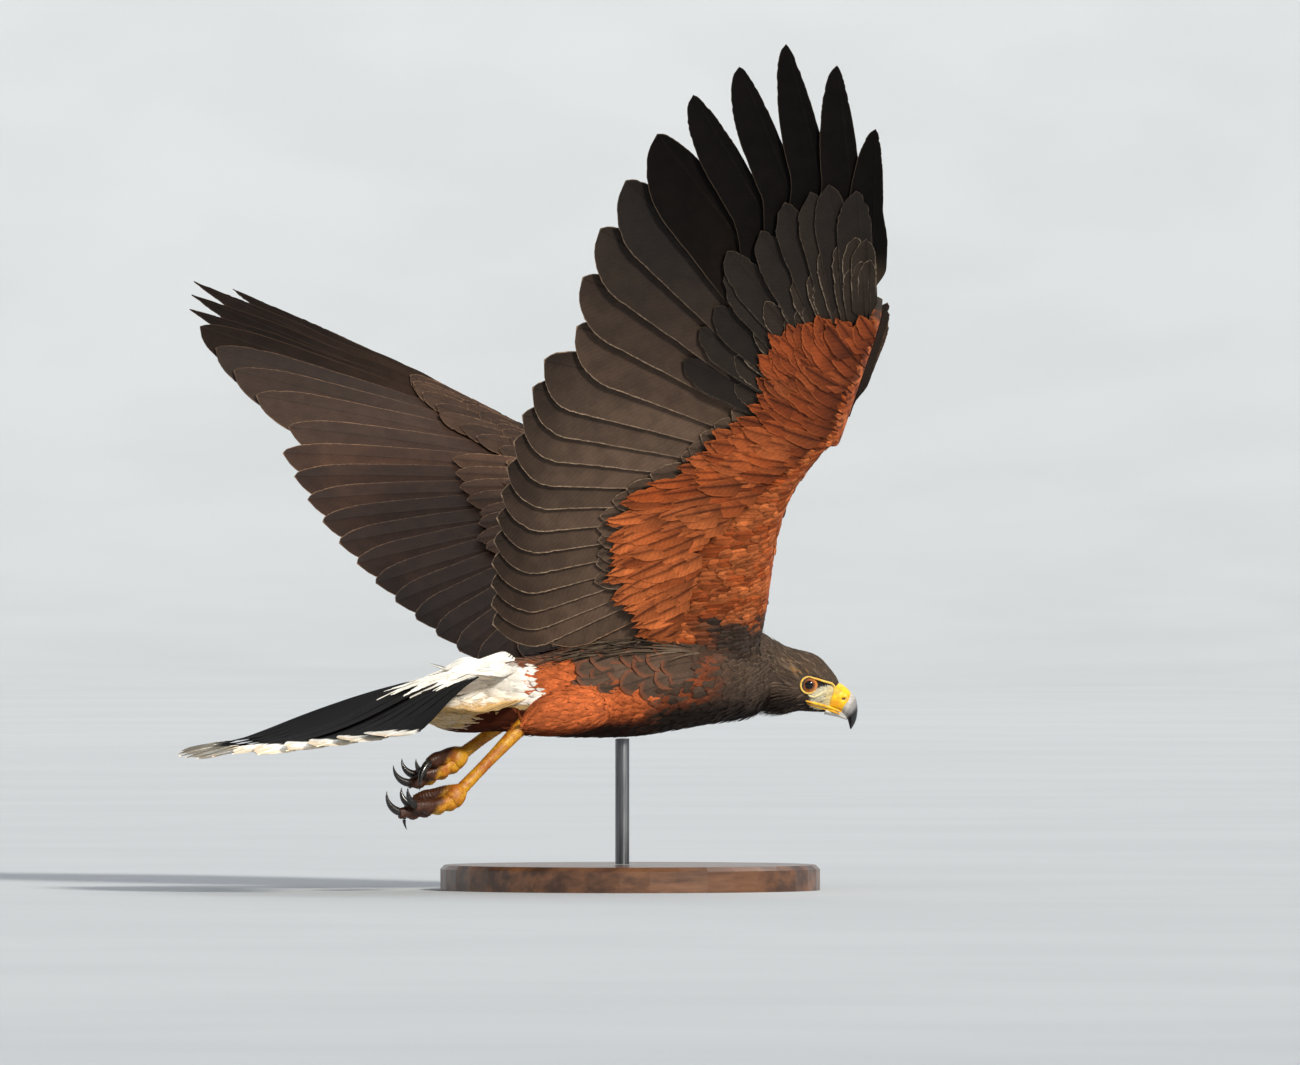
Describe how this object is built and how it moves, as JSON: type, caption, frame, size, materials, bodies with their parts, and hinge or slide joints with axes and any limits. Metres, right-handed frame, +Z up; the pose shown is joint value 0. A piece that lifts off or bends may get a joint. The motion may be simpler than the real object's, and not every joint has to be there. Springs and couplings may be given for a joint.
{
  "type": "harris hawk model",
  "caption": "Life-size still model of a harris hawk in flight, wings raised, on a round display base with a short rod.",
  "frame": {"origin": "middle of the underside of the stand's base", "axes": "+X towards the bill along the bird's body, +Y towards the bird's left, +Z up"},
  "size_m": [0.4972, 0.639, 0.5974],
  "materials": {
    "dark_plumage": "matte",
    "body_plumage": "matte",
    "wing_plumage": "matte",
    "tail_plumage": "matte",
    "white_plumage": "matte",
    "eye": "gloss",
    "bill": "satin",
    "cere": "satin",
    "leg_skin": "satin",
    "claw": "gloss",
    "stand_wood": "satin",
    "stand_steel": "satin"
  },
  "bodies": {
    "root": {"eye_left": "eye", "eye_right": "eye", "head": "dark_plumage", "cere": "cere", "beak_upper": "bill", "beak_lower": "bill", "torso": "body_plumage", "neck": "dark_plumage", "wing_right_arm": "wing_plumage", "wing_right_hand": "wing_plumage", "wing_left_arm": "wing_plumage", "wing_left_hand": "wing_plumage", "tail": "tail_plumage", "tail_coverts": "white_plumage", "thigh_right": "body_plumage", "tarsus_right": "leg_skin", "claw_right_inner": "claw", "claw_right_middle": "claw", "claw_right_outer": "claw", "claw_right_hind": "claw", "foot_right": "leg_skin", "thigh_left": "body_plumage", "tarsus_left": "leg_skin", "claw_left_inner": "claw", "claw_left_middle": "claw", "claw_left_outer": "claw", "claw_left_hind": "claw", "foot_left": "leg_skin", "stand_base": "stand_wood", "stand_rod": "stand_steel"}
  },
  "joints": []
}
